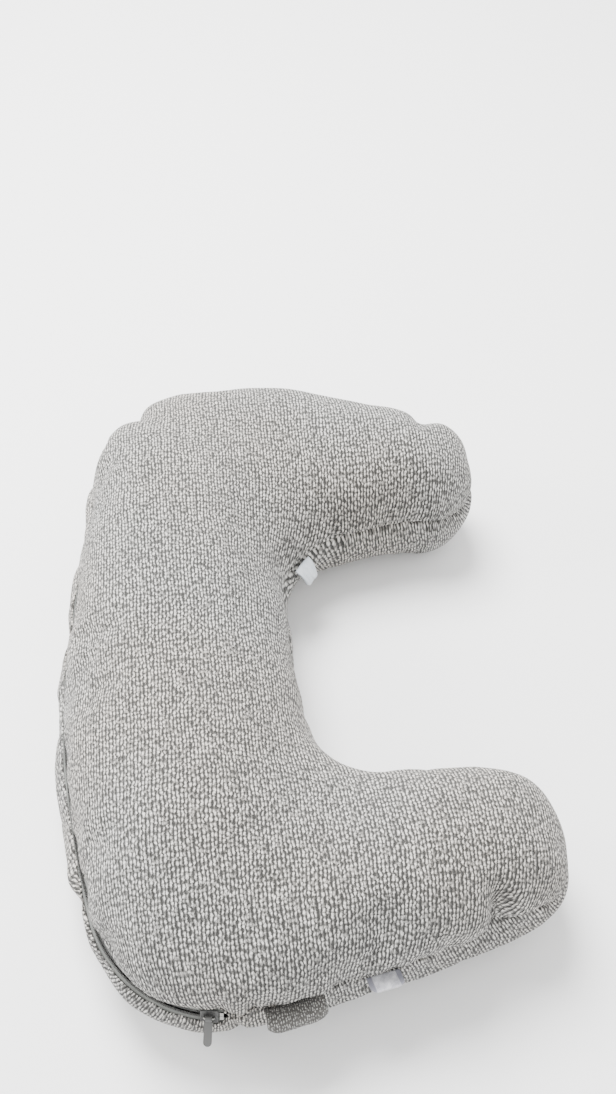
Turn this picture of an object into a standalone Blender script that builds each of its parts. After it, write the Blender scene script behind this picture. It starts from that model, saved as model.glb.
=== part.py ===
"""Nursing pillow: a C-shaped pillow in a zipped knitted cover.

Frame: metres, +Z up, +X from the back towards the waist opening, +Y along the pillow's long side.
The origin is on the flat patch under the back, on the mid-plane, so the pillow rests on Z = 0.
"""

import math

import bmesh
import bpy
from mathutils import Matrix, Vector

# The seam's outline in plan. It is symmetric about the mid-plane Y = 0.
PILLOW_LENGTH = 0.606
PILLOW_DEPTH = 0.398
BACK_DEPTH = 0.207
BACK_TO_ORIGIN = 0.101
OPENING_WIDTH = 0.246
MOUTH_WIDTH = 0.268
TIP_SPAN = 0.484
BACK_ARC_RADIUS = 0.95
BACK_CORNER_RADIUS = 0.115
SIDE_ARC_RADIUS = 0.500
TIP_OUTER_RADIUS = 0.040
TIP_INNER_RADIUS = 0.050
INNER_CORNER_RADIUS = 0.075

# Heights. The seam is a little above the middle.
ARM_THICKNESS = 0.147
BACK_THICKNESS = 0.162
SEAM_HEIGHT = 0.078
TOP_BULGE = 0.002
BOTTOM_BULGE = 0.0045
REST_PRESS = 0.005

# Cloth layers, from outside to inside.
COVER_CLOTH = 0.0025
CASING_CLOTH = 0.0010
SEAM_GAP = 0.0004
LAYER_GAP = 0.0005
CASING_INSET = 0.0145
FILLING_INSET = 0.0020

# Zip. It runs round the back from the far corner to the near corner, set back in the seam, and
# its face looks outwards and up by ZIP_TILT. ACROSS sizes are measured from its centre line.
ZIP_FAR_END = math.radians(152)
ZIP_NEAR_END = math.radians(268)
ZIP_SETBACK = 0.005
ZIP_TILT = math.radians(35)
COIL_RADIUS = 0.0008
COIL_ACROSS = 0.0017
COIL_END_INSET = 0.006
TAPE_END_INSET = 0.003
TAPE_THICKNESS = 0.0005
TAPE_SHOWN_UPPER = 0.0090
TAPE_SHOWN_LOWER = 0.0062
TAPE_EDGE_GAP = 0.0005
COVER_PROUD = 0.0010
STOP_LENGTH = 0.0028
STOP_WALL = 0.0007
STOP_GAP = 0.0003

# Slider and pull.
SLIDER_LENGTH = 0.0140
SLIDER_WIDTH = 0.0104
SLIDER_TAIL_WIDTH = 0.0090
SLIDER_PLATE = 0.0011
SLIDER_FLANGE = 0.0010
COIL_CLEARANCE = 0.00055
TAPE_CLEARANCE = 0.0005
NECK_WIDTH = 0.0009
NECK_LENGTH = 0.0040
SLIDER_TO_STOP = 0.0008
CROWN_WIRE_RADIUS = 0.0008
CROWN_POST_SPACING = 0.0074
PULL_BORE_CLEARANCE = 0.00035
PULL_KNUCKLE_WALL = 0.0010
PULL_KNUCKLE_WIDTH = 0.0050
PULL_LENGTH = 0.0220
PULL_WIDTH = 0.0064
PULL_THICKNESS = 0.0012
PULL_HANG = math.radians(24)

# Folded strips that stand out of the seam.
LOOP_WIDTH = 0.046
LOOP_REACH = 0.017
LOOP_CLOTH = 0.0016
LOOP_FOLD = 0.0024
LOOP_FROM_BACK = 0.080
LABEL_WIDTH = 0.026
LABEL_REACH = 0.013
LABEL_CLOTH = 0.0006
LABEL_FOLD = 0.0010
LABEL_FROM_BACK = 0.150
CARE_WIDTH = 0.020
CARE_REACH = 0.024
CARE_CLOTH = 0.0006
CARE_FOLD = 0.0010
CARE_ANGLE = math.radians(222)
STRIP_DROOP = 0.004
STRIP_SEAT = 0.0009

# How finely each stretch of the outline is divided.
ARM_STEPS = 6
BACK_STEPS = 8
NEAR_CORNER_STEPS = (10, 2)
FAR_CORNER_STEPS = (3, 9)
TIP_ARC_STEPS = 4
TIP_LINE_STEPS = 2
TIP_FAN_STEPS = 1
SECTION_ANGLES = tuple(math.radians(a) for a in (0, 5, 18, 40, 70, 90))
SECTION_POWER = 0.80
BULGE_ANGLE = math.radians(3)
ZIP_CORNER_STEPS = 20
ZIP_BACK_STEPS = 10
ZIP_FAR_STEPS = 6

UP = Vector((0, 0, 1))


def clear_scene():
    for obj in list(bpy.data.objects):
        bpy.data.objects.remove(obj, do_unlink=True)


def make_collection(name):
    collection = bpy.data.collections.new(name)
    bpy.context.scene.collection.children.link(collection)
    return collection


def make_material(name, colour, roughness, metallic=0.0):
    material = bpy.data.materials.new(name)
    material.use_nodes = True
    shader = material.node_tree.nodes["Principled BSDF"]
    shader.inputs["Base Color"].default_value = (*colour, 1.0)
    shader.inputs["Roughness"].default_value = roughness
    shader.inputs["Metallic"].default_value = metallic
    material.diffuse_color = (*colour, 1.0)
    return material


# Plan outline


def direction(angle):
    return Vector((math.cos(angle), math.sin(angle)))


def angle_of(vector):
    return math.atan2(vector.y, vector.x)


def meeting_point(centre_a, reach_a, centre_b, reach_b):
    """The point at both distances, on the right-hand side of the way from a to b."""
    span = centre_b - centre_a
    along = (span.length_squared + reach_a**2 - reach_b**2) / (2 * span.length)
    aside = math.sqrt(reach_a**2 - along**2)
    unit = span.normalized()
    return centre_a + unit * along + Vector((unit.y, -unit.x)) * aside


def shared_normal(centre_a, radius_a, centre_b, radius_b):
    """The outward angle of the line that touches both circles. A concave corner's radius is negative."""
    span = centre_b - centre_a
    return angle_of(span) - math.acos((radius_a - radius_b) / span.length)


class Plan:
    """Centres and tangent angles of the outline's far half. The near half mirrors it."""

    def __init__(self):
        back_x = -BACK_TO_ORIGIN
        tip_x = back_x + PILLOW_DEPTH
        inner_x = back_x + BACK_DEPTH
        self.back_centre = Vector((back_x + BACK_ARC_RADIUS, 0))
        corner_y = PILLOW_LENGTH / 2 - BACK_CORNER_RADIUS
        reach = BACK_ARC_RADIUS - BACK_CORNER_RADIUS
        self.corner_centre = Vector(
            (self.back_centre.x - math.sqrt(reach**2 - corner_y**2), corner_y)
        )
        self.tip_outer_centre = Vector(
            (tip_x - TIP_OUTER_RADIUS, TIP_SPAN / 2 - TIP_OUTER_RADIUS)
        )
        self.tip_inner_centre = Vector(
            (tip_x - TIP_INNER_RADIUS, MOUTH_WIDTH / 2 + TIP_INNER_RADIUS)
        )
        self.inner_centre = Vector(
            (inner_x + INNER_CORNER_RADIUS, OPENING_WIDTH / 2 - INNER_CORNER_RADIUS)
        )
        self.side_centre = meeting_point(
            self.corner_centre,
            SIDE_ARC_RADIUS - BACK_CORNER_RADIUS,
            self.tip_outer_centre,
            SIDE_ARC_RADIUS - TIP_OUTER_RADIUS,
        )
        self.back_angle = angle_of(self.corner_centre - self.back_centre)
        self.side_angle = angle_of(self.corner_centre - self.side_centre)
        self.tip_angle = angle_of(self.tip_outer_centre - self.side_centre)
        self.arm_angle = shared_normal(
            self.inner_centre,
            -INNER_CORNER_RADIUS,
            self.tip_inner_centre,
            TIP_INNER_RADIUS,
        )


def arc_points(centre, radius, start, end, steps, concave=False):
    """Points with their outward normals from start up to, but not with, end."""
    points = []
    for i in range(steps):
        radial = direction(start + (end - start) * i / steps)
        points.append((centre + radial * radius, -radial if concave else radial))
    return points


def line_points(start, end, normal, steps):
    return [(start.lerp(end, i / steps), normal) for i in range(steps)]


def flip(points):
    """Mirrors points about the mid-plane."""
    return [(Vector((p.x, -p.y)), Vector((n.x, -n.y))) for p, n in points]


def outer_half(plan, corner_steps, zip_end):
    """From the arm tip's tangent point to the middle of the back, on the far side."""
    side = arc_points(
        plan.side_centre, SIDE_ARC_RADIUS, plan.tip_angle, plan.side_angle, ARM_STEPS
    )
    before, after = corner_steps
    centre, radius = plan.corner_centre, BACK_CORNER_RADIUS
    corner = arc_points(centre, radius, plan.side_angle, zip_end, before)
    corner += arc_points(centre, radius, zip_end, plan.back_angle, after)
    back = arc_points(
        plan.back_centre, BACK_ARC_RADIUS, plan.back_angle, math.pi, BACK_STEPS // 2
    )
    return side + corner + back


def inner_half(plan):
    """From the arm tip's tangent point to the middle of the inner curve, on the far side."""
    normal = direction(plan.arm_angle)
    tip_end = plan.tip_inner_centre + normal * TIP_INNER_RADIUS
    root = plan.inner_centre - normal * INNER_CORNER_RADIUS
    start = plan.arm_angle + math.pi
    middle = Vector((plan.inner_centre.x - INNER_CORNER_RADIUS, 0))
    corner_end = Vector((middle.x, plan.inner_centre.y))
    corner_steps = sum(FAR_CORNER_STEPS)
    return (
        line_points(tip_end, root, normal, ARM_STEPS)
        + arc_points(
            plan.inner_centre, INNER_CORNER_RADIUS, start, math.pi, corner_steps, concave=True
        )
        + line_points(corner_end, middle, Vector((1, 0)), BACK_STEPS // 2)
    )


def tip_points(plan):
    """Round the far arm's tip, from the inner side's tangent point to the outer side's."""
    tip_x = plan.tip_outer_centre.x + TIP_OUTER_RADIUS
    start = Vector((tip_x, plan.tip_inner_centre.y))
    end = Vector((tip_x, plan.tip_outer_centre.y))
    return (
        arc_points(plan.tip_inner_centre, TIP_INNER_RADIUS, plan.arm_angle, 0, TIP_ARC_STEPS)
        + line_points(start, end, Vector((1, 0)), TIP_LINE_STEPS)
        + arc_points(plan.tip_outer_centre, TIP_OUTER_RADIUS, 0, plan.tip_angle, TIP_ARC_STEPS)
    )


def whole_outline(plan):
    """The closed seam line, anticlockwise, and which ladder rung each point belongs to."""
    near_zip_end = 2 * math.pi - ZIP_NEAR_END
    far_steps = tuple(reversed(FAR_CORNER_STEPS))
    near_steps = tuple(reversed(NEAR_CORNER_STEPS))
    far_outer = outer_half(plan, far_steps, ZIP_FAR_END)
    near_outer = flip(outer_half(plan, near_steps, near_zip_end))
    back_middle = [(Vector((-BACK_TO_ORIGIN, 0)), Vector((-1, 0)))]
    inner_middle = [(Vector((BACK_DEPTH - BACK_TO_ORIGIN, 0)), Vector((1, 0)))]
    far_inner = inner_half(plan)
    outer = far_outer + back_middle + near_outer[::-1]
    inner = far_inner + inner_middle + flip(far_inner)[::-1]
    far_tip = tip_points(plan)
    near_tip = flip(far_tip)[::-1]
    rungs = len(outer)
    last = rungs - 1 - TIP_FAN_STEPS

    def clamped(i):
        return min(max(i, TIP_FAN_STEPS), last)

    points = outer + near_tip[:-1] + inner[::-1] + far_tip[1:]
    near_fan = [last] * (len(near_tip) - 1)
    far_fan = [TIP_FAN_STEPS] * (len(far_tip) - 1)
    ladder = [clamped(i) for i in range(rungs)] + near_fan
    ladder += [clamped(i) for i in reversed(range(rungs))] + far_fan
    return points, ladder, rungs


def in_zip_stretch(plan, point):
    """True from the zip's far end, round the back, to its near end."""
    far = angle_of(point - plan.corner_centre) % (2 * math.pi)
    near_centre = Vector((plan.corner_centre.x, -plan.corner_centre.y))
    near = angle_of(point - near_centre) % (2 * math.pi)
    tolerance = 1e-4
    if point.x > plan.corner_centre.x + BACK_CORNER_RADIUS / 2:
        return False
    if point.y > plan.corner_centre.y:
        return far > ZIP_FAR_END - tolerance
    if point.y < near_centre.y:
        return near < ZIP_NEAR_END + tolerance
    return point.x < plan.corner_centre.x


# Padded layers


def zip_frame(normal):
    """The zip's own axes: along its length, across it towards the upper tape, and out of its face."""
    out = Vector((normal.x, normal.y, 0))
    across = UP * math.cos(ZIP_TILT) - out * math.sin(ZIP_TILT)
    face = out * math.cos(ZIP_TILT) + UP * math.sin(ZIP_TILT)
    return across.cross(face), across, face


def zip_centre(point, normal):
    inset = point - normal * ZIP_SETBACK
    return Vector((inset.x, inset.y, SEAM_HEIGHT))


def zip_place(point, normal, across_by, face_by):
    _, across, face = zip_frame(normal)
    return zip_centre(point, normal) + across * across_by + face * face_by


def panel_edge_across(upper):
    """Where a panel's outer edge lies across the zip, so that its level rim clears the tape."""
    slope = math.tan(ZIP_TILT)
    if upper:
        rim_slant = (COVER_PROUD - TAPE_THICKNESS / 2) * slope
        return TAPE_SHOWN_UPPER + TAPE_EDGE_GAP - rim_slant
    rim_slant = (COVER_PROUD + TAPE_THICKNESS / 2) * slope
    return -TAPE_SHOWN_LOWER - TAPE_EDGE_GAP - rim_slant


class Layer:
    """One skin of the pillow: how far it lies inside the seam line and inside the cover's surface."""

    def __init__(self, plan, inset, below_top, above_floor, open_at_zip=False):
        points, self.ladder, rungs = whole_outline(plan)
        self.outline = [(p - n * inset, n) for p, n in points]
        self.zipped = [open_at_zip and in_zip_stretch(plan, p) for p, _ in points]
        outer = [p for p, _ in self.outline[:rungs]]
        start = rungs + 2 * TIP_ARC_STEPS + TIP_LINE_STEPS - 1
        inner = [p for p, _ in self.outline[start : start + rungs]][::-1]
        self.middle = [(a + b) / 2 for a, b in zip(outer, inner)]
        self.below_top = below_top
        self.floor = above_floor
        self.rungs = rungs

    def thickness(self, rung):
        """The back is thicker than the arms, and the change is smooth."""
        corner = ARM_STEPS + sum(FAR_CORNER_STEPS)
        from_tip = min(rung, self.rungs - 1 - rung)
        share = min(max((from_tip - ARM_STEPS) / (corner - ARM_STEPS), 0), 1)
        smooth = share * share * (3 - 2 * share)
        return ARM_THICKNESS + (BACK_THICKNESS - ARM_THICKNESS) * smooth

    def edge(self, i, upper, gap):
        point, normal = self.outline[i]
        if self.zipped[i]:
            return zip_place(point, normal, panel_edge_across(upper), COVER_PROUD)
        lift = gap / 2 if upper else -gap / 2
        return Vector((point.x, point.y, SEAM_HEIGHT + lift))

    def surface(self, upper, gap):
        """Rings from the seam to the crown line: (points, faces), faces looking out of the pillow."""
        points = []
        count = len(self.outline)
        bulge = TOP_BULGE if upper else BOTTOM_BULGE
        for angle in SECTION_ANGLES[:-1]:
            inwards = 1 - math.cos(angle) ** SECTION_POWER
            upwards = math.sin(angle) ** SECTION_POWER
            swell = bulge * (1 - math.exp(-angle / BULGE_ANGLE))
            for i, (_, normal) in enumerate(self.outline):
                edge = self.edge(i, upper, gap)
                crown = self.crown(self.ladder[i], upper)
                flat = Vector((edge.x, edge.y)) + normal * swell
                flat = flat.lerp(Vector((crown.x, crown.y)), inwards)
                height = edge.z + (crown.z - edge.z) * upwards
                points.append(Vector((flat.x, flat.y, max(height, self.floor))))
        first_crown = len(points)
        for rung in range(self.rungs):
            crown = self.crown(rung, upper)
            points.append(Vector((crown.x, crown.y, max(crown.z, self.floor))))
        faces = []
        for ring in range(len(SECTION_ANGLES) - 2):
            for i in range(count):
                j = (i + 1) % count
                low, high = ring * count, (ring + 1) * count
                faces.append((low + i, low + j, high + j, high + i))
        low = (len(SECTION_ANGLES) - 2) * count
        for i in range(count):
            j = (i + 1) % count
            ends = (first_crown + self.ladder[j], first_crown + self.ladder[i])
            crown_ends = ends[:1] if ends[0] == ends[1] else ends
            faces.append((low + i, low + j, *crown_ends))
        return points, faces if upper else [f[::-1] for f in faces]

    def crown(self, rung, upper):
        middle = self.middle[rung]
        if upper:
            return Vector((middle.x, middle.y, self.thickness(rung) - self.below_top))
        return Vector((middle.x, middle.y, self.floor - REST_PRESS))


def mesh_object(name, points, faces, collection, material):
    mesh = bpy.data.meshes.new(name)
    mesh.from_pydata([tuple(p) for p in points], [], faces)
    bm = bmesh.new()
    bm.from_mesh(mesh)
    loose = [v for v in bm.verts if not v.link_faces]
    bmesh.ops.delete(bm, geom=loose, context="VERTS")
    bmesh.ops.remove_doubles(bm, verts=bm.verts[:], dist=1e-6)
    bm.to_mesh(mesh)
    bm.free()
    mesh.shade_smooth()
    obj = bpy.data.objects.new(name, mesh)
    collection.objects.link(obj)
    obj.data.materials.append(material)
    return obj


def solidify(obj, thickness, offset):
    modifier = obj.modifiers.new("Cloth thickness", "SOLIDIFY")
    modifier.thickness = thickness
    modifier.offset = offset


def make_skin(name, layer, upper, cloth, collection, material):
    points, faces = layer.surface(upper, SEAM_GAP)
    skin = mesh_object(name, points, faces, collection, material)
    solidify(skin, cloth, -1)
    return skin


def make_filling(layer, collection, material):
    top_points, top_faces = layer.surface(True, 0)
    bottom_points, bottom_faces = layer.surface(False, 0)
    shift = len(top_points)
    faces = top_faces + [tuple(i + shift for i in face) for face in bottom_faces]
    return mesh_object(
        "fibre_filling", top_points + bottom_points, faces, collection, material
    )


# Zip


def zip_line(plan, end_inset):
    """Seam points with normals along the zip, from its far end to its near end."""
    turn = end_inset / (BACK_CORNER_RADIUS - ZIP_SETBACK)
    far = arc_points(
        plan.corner_centre,
        BACK_CORNER_RADIUS,
        ZIP_FAR_END + turn,
        plan.back_angle,
        ZIP_FAR_STEPS,
    )
    back = arc_points(
        plan.back_centre,
        BACK_ARC_RADIUS,
        plan.back_angle,
        2 * math.pi - plan.back_angle,
        ZIP_BACK_STEPS,
    )
    near_centre = Vector((plan.corner_centre.x, -plan.corner_centre.y))
    start, end = 2 * math.pi - plan.back_angle, ZIP_NEAR_END - turn
    near = arc_points(near_centre, BACK_CORNER_RADIUS, start, end, ZIP_CORNER_STEPS)
    last = direction(end)
    return far + back + near + [(near_centre + last * BACK_CORNER_RADIUS, last)]


def make_tape(name, plan, inner_across, outer_across, collection, material):
    line = zip_line(plan, TAPE_END_INSET)
    points = [zip_place(p, n, inner_across, 0) for p, n in line]
    points += [zip_place(p, n, outer_across, 0) for p, n in line]
    count = len(line)
    faces = [(i, i + 1, count + i + 1, count + i) for i in range(count - 1)]
    tape = mesh_object(name, points, faces, collection, material)
    solidify(tape, TAPE_THICKNESS, 0)
    return tape


def tube(name, points, radius, collection, material, resolution):
    """A wire along points, with closed ends."""
    curve = bpy.data.curves.new(name, "CURVE")
    curve.dimensions = "3D"
    spline = curve.splines.new("POLY")
    spline.points.add(len(points) - 1)
    for spot, point in zip(spline.points, points):
        spot.co = (*point, 1.0)
    curve.bevel_depth = radius
    curve.bevel_resolution = resolution
    curve.use_fill_caps = True
    obj = bpy.data.objects.new(name, curve)
    collection.objects.link(obj)
    obj.data.materials.append(material)
    return obj


def make_coil(name, plan, across, collection, material):
    line = zip_line(plan, COIL_END_INSET)
    points = [zip_place(p, n, across, 0) for p, n in line]
    return tube(name, points, COIL_RADIUS, collection, material, 1)


def zip_matrix(centre, angle):
    """Place and turn of a zip part on a corner: X along the zip, Y across it, Z out of its face."""
    normal = direction(angle)
    along, across, face = zip_frame(normal)
    place = zip_centre(centre + normal * BACK_CORNER_RADIUS, normal)
    turn = Matrix((along, across, face)).transposed().to_4x4()
    return Matrix.Translation(place) @ turn


def object_from(name, bm, collection, material=None):
    """Turns a finished BMesh into an object in the collection."""
    mesh = bpy.data.meshes.new(name)
    bm.to_mesh(mesh)
    bm.free()
    obj = bpy.data.objects.new(name, mesh)
    collection.objects.link(obj)
    if material:
        obj.data.materials.append(material)
    return obj


def box_mesh(bm, low, high):
    centre = [(a + b) / 2 for a, b in zip(low, high)]
    size = [b - a for a, b in zip(low, high)]
    matrix = Matrix.Translation(centre) @ Matrix.Diagonal((*size, 1.0))
    bmesh.ops.create_cube(bm, size=1.0, matrix=matrix)


def box_object(name, low, high, collection, material=None):
    bm = bmesh.new()
    box_mesh(bm, low, high)
    return object_from(name, bm, collection, material)


def hide_cutter(cutter):
    cutter.hide_render = True
    cutter.display_type = "WIRE"


def boolean(obj, other, operation):
    modifier = obj.modifiers.new(operation.title(), "BOOLEAN")
    modifier.operation = operation
    modifier.object = other
    modifier.solver = "EXACT"
    hide_cutter(other)


def bevel(obj, width, segments):
    modifier = obj.modifiers.new("Rounded edges", "BEVEL")
    modifier.width = width
    modifier.segments = segments
    modifier.limit_method = "ANGLE"
    modifier.angle_limit = math.radians(40)


def make_stop(name, across_low, across_high, placing, collection, cutters, material):
    """A clip of bent sheet round one coil, or round both, with a channel for the coil."""
    outside = COIL_RADIUS + STOP_GAP + STOP_WALL
    inside = COIL_RADIUS + STOP_GAP
    half = STOP_LENGTH / 2
    stop = box_object(
        name, (-half, across_low, -outside), (half, across_high, outside), collection, material
    )
    grip = COIL_ACROSS - COIL_RADIUS - STOP_GAP
    for side in (-1, 1):
        low, high = sorted((side * grip, side * TAPE_SHOWN_UPPER))
        if min(high, across_high) <= max(low, across_low):
            continue
        channel = box_object(
            f"{name}_channel_{'upper' if side > 0 else 'lower'}",
            (-STOP_LENGTH, low, -inside),
            (STOP_LENGTH, high, inside),
            cutters,
        )
        channel.matrix_world = placing
        boolean(stop, channel, "DIFFERENCE")
    stop.matrix_world = placing
    return stop


def slider_outline():
    """Half of the slider plate's outline: a shield, widest at the nose."""
    half = SLIDER_LENGTH / 2
    nose, tail = SLIDER_WIDTH / 2, SLIDER_TAIL_WIDTH / 2
    corner = SLIDER_FLANGE
    tail_corner = SLIDER_FLANGE / 2
    return [
        (half, nose - corner),
        (half - corner, nose),
        (0, nose),
        (-half + tail_corner, tail),
        (-half, tail - tail_corner),
    ]


def mirrored(half_outline, between=()):
    """A whole outline from the half on one side of Y = 0."""
    return list(half_outline) + list(between) + [(x, -y) for x, y in reversed(half_outline)]


def plate_object(name, outline, low, high, collection, material=None):
    """A flat plate: an outline in X and Y, extruded from low to high along Z."""
    bm = bmesh.new()
    face = bm.faces.new([bm.verts.new((x, y, low)) for x, y in outline])
    made = bmesh.ops.extrude_face_region(bm, geom=[face])
    lifted = [g for g in made["geom"] if isinstance(g, bmesh.types.BMVert)]
    bmesh.ops.translate(bm, verts=lifted, vec=(0, 0, high - low))
    bmesh.ops.recalc_face_normals(bm, faces=bm.faces[:])
    return object_from(name, bm, collection, material)


def make_slider_body(placing, collection, cutters, material):
    """Two plates held apart by a neck at the nose, with flanges that leave a slot for each tape."""
    inside = COIL_RADIUS + COIL_CLEARANCE
    outside = inside + SLIDER_PLATE
    slot = TAPE_THICKNESS / 2 + TAPE_CLEARANCE
    half = SLIDER_LENGTH / 2
    channel_edge = SLIDER_TAIL_WIDTH / 2 - SLIDER_FLANGE
    outline = mirrored(slider_outline())
    body = plate_object("zip_slider_body", outline, -outside, outside, collection, material)
    bevel(body, SLIDER_PLATE / 3, 2)
    reach = SLIDER_LENGTH
    neck_start = half - NECK_LENGTH
    channel_outline = [
        (neck_start, NECK_WIDTH / 2),
        (reach, NECK_WIDTH / 2),
        (reach, channel_edge),
        (-reach, channel_edge),
    ]
    channel = mirrored(channel_outline)
    cuts = [plate_object("zip_slider_channel", channel, -inside, inside, cutters)]
    for side in (-1, 1):
        low, high = sorted((side * channel_edge / 2, side * reach))
        cuts.append(
            box_object(
                f"zip_slider_slot_{'upper' if side > 0 else 'lower'}",
                (-reach, low, -slot),
                (reach, high, slot),
                cutters,
            )
        )
    for cutter in cuts:
        cutter.matrix_world = placing
        boolean(body, cutter, "DIFFERENCE")
    body.matrix_world = placing
    return body


def crown_height():
    plate_top = COIL_RADIUS + COIL_CLEARANCE + SLIDER_PLATE
    knuckle = CROWN_WIRE_RADIUS + PULL_BORE_CLEARANCE + PULL_KNUCKLE_WALL
    return plate_top + SEAM_GAP + knuckle


def make_slider_crown(placing, collection, material):
    """An arched wire along the slider, standing on its upper plate."""
    foot = COIL_RADIUS + COIL_CLEARANCE + SLIDER_PLATE + SEAM_GAP
    top = crown_height()
    half = CROWN_POST_SPACING / 2
    corner = CROWN_WIRE_RADIUS
    arch = [
        (-half, foot),
        (-half, top - corner),
        (-half + corner, top),
        (half - corner, top),
        (half, top - corner),
        (half, foot),
    ]
    points = [Vector((x, 0, z)) for x, z in arch]
    crown = tube("zip_slider_crown", points, CROWN_WIRE_RADIUS, collection, material, 2)
    crown.matrix_world = placing
    return crown


def cylinder_object(name, radius, length, collection):
    """A cylinder along X, centred on its origin."""
    bm = bmesh.new()
    bmesh.ops.create_cone(
        bm,
        cap_ends=True,
        segments=20,
        radius1=radius,
        radius2=radius,
        depth=length,
        matrix=Matrix.Rotation(math.pi / 2, 4, "Y"),
    )
    return object_from(name, bm, collection)


def pull_outline():
    """Half of the pull's outline, which hangs along -X: a straight side and a round end."""
    half = PULL_WIDTH / 2
    steps = 5
    outline = [(0.0, half)]
    for i in range(steps):
        angle = math.pi / 2 * i / steps
        outline.append((half - PULL_LENGTH - half * math.sin(angle), half * math.cos(angle)))
    return outline


def make_pull(placing, collection, cutters, material):
    """A flat tab that hangs along -Y from a knuckle round the crown."""
    outline = mirrored(pull_outline(), [(-PULL_LENGTH, 0.0)])
    hanging = [(-y, x) for x, y in outline]
    half = PULL_THICKNESS / 2
    pull = plate_object("zip_pull_tab", hanging, -half, half, collection, material)
    bore = CROWN_WIRE_RADIUS + PULL_BORE_CLEARANCE
    wall = bore + PULL_KNUCKLE_WALL
    work = []
    for side in (-1, 1):
        low, high = sorted((side * PULL_WIDTH, side * PULL_KNUCKLE_WIDTH / 2))
        name = f"zip_pull_shoulder_{'near' if side < 0 else 'far'}"
        shoulder = box_object(name, (low, -wall - SEAM_GAP, -wall), (high, wall, wall), cutters)
        work.append((shoulder, "DIFFERENCE"))
    knuckle = cylinder_object("zip_pull_knuckle", wall, PULL_KNUCKLE_WIDTH, cutters)
    hole = cylinder_object("zip_pull_bore", bore, 2 * PULL_WIDTH, cutters)
    work += [(knuckle, "UNION"), (hole, "DIFFERENCE")]
    for cutter, operation in work:
        cutter.matrix_world = placing
        boolean(pull, cutter, operation)
    pull.matrix_world = placing
    return pull


# Strips folded over and sewn into the seam


def make_strip(name, centre, radius, middle, width, reach, cloth, fold, finish):
    """A strip that leaves the seam, folds back at its reach and returns. radius < 0 is concave."""
    collection, material = finish
    turns = 6
    across = 8
    half_fold = fold / 2 + cloth / 2
    root = cloth / 2 + SEAM_GAP / 2
    section = [(STRIP_SEAT, root)]
    section += [((reach - half_fold) * share, half_fold) for share in (0.35, 0.7)]
    for i in range(turns + 1):
        angle = math.pi / 2 - math.pi * i / turns
        out = reach - cloth / 2 - half_fold + half_fold * math.cos(angle)
        section.append((out, half_fold * math.sin(angle)))
    section += [((reach - half_fold) * share, -half_fold) for share in (0.7, 0.35)]
    section.append((STRIP_SEAT, -root))
    points = []
    for i in range(across + 1):
        angle = middle + (i / across - 0.5) * width / radius
        radial = direction(angle)
        normal = radial if radius > 0 else -radial
        for out, lift in section:
            flat = centre + radial * abs(radius) + normal * out
            droop = STRIP_DROOP * (out / reach) ** 2
            points.append(Vector((flat.x, flat.y, SEAM_HEIGHT + lift - droop)))
    row = len(section)
    faces = [
        (i * row + j, i * row + j + 1, (i + 1) * row + j + 1, (i + 1) * row + j)
        for i in range(across)
        for j in range(row - 1)
    ]
    strip = mesh_object(name, points, faces, collection, material)
    solidify(strip, cloth, 0)
    return strip


def side_arc_angle(plan, from_back):
    """The angle on the near side arc whose point lies this far along X from the origin."""
    return -math.acos((from_back - plan.side_centre.x) / SIDE_ARC_RADIUS)


def keep_world(child, parent):
    matrix = child.matrix_world.copy()
    child.parent = parent
    child.matrix_parent_inverse = parent.matrix_world.inverted()
    child.matrix_world = matrix


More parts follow.
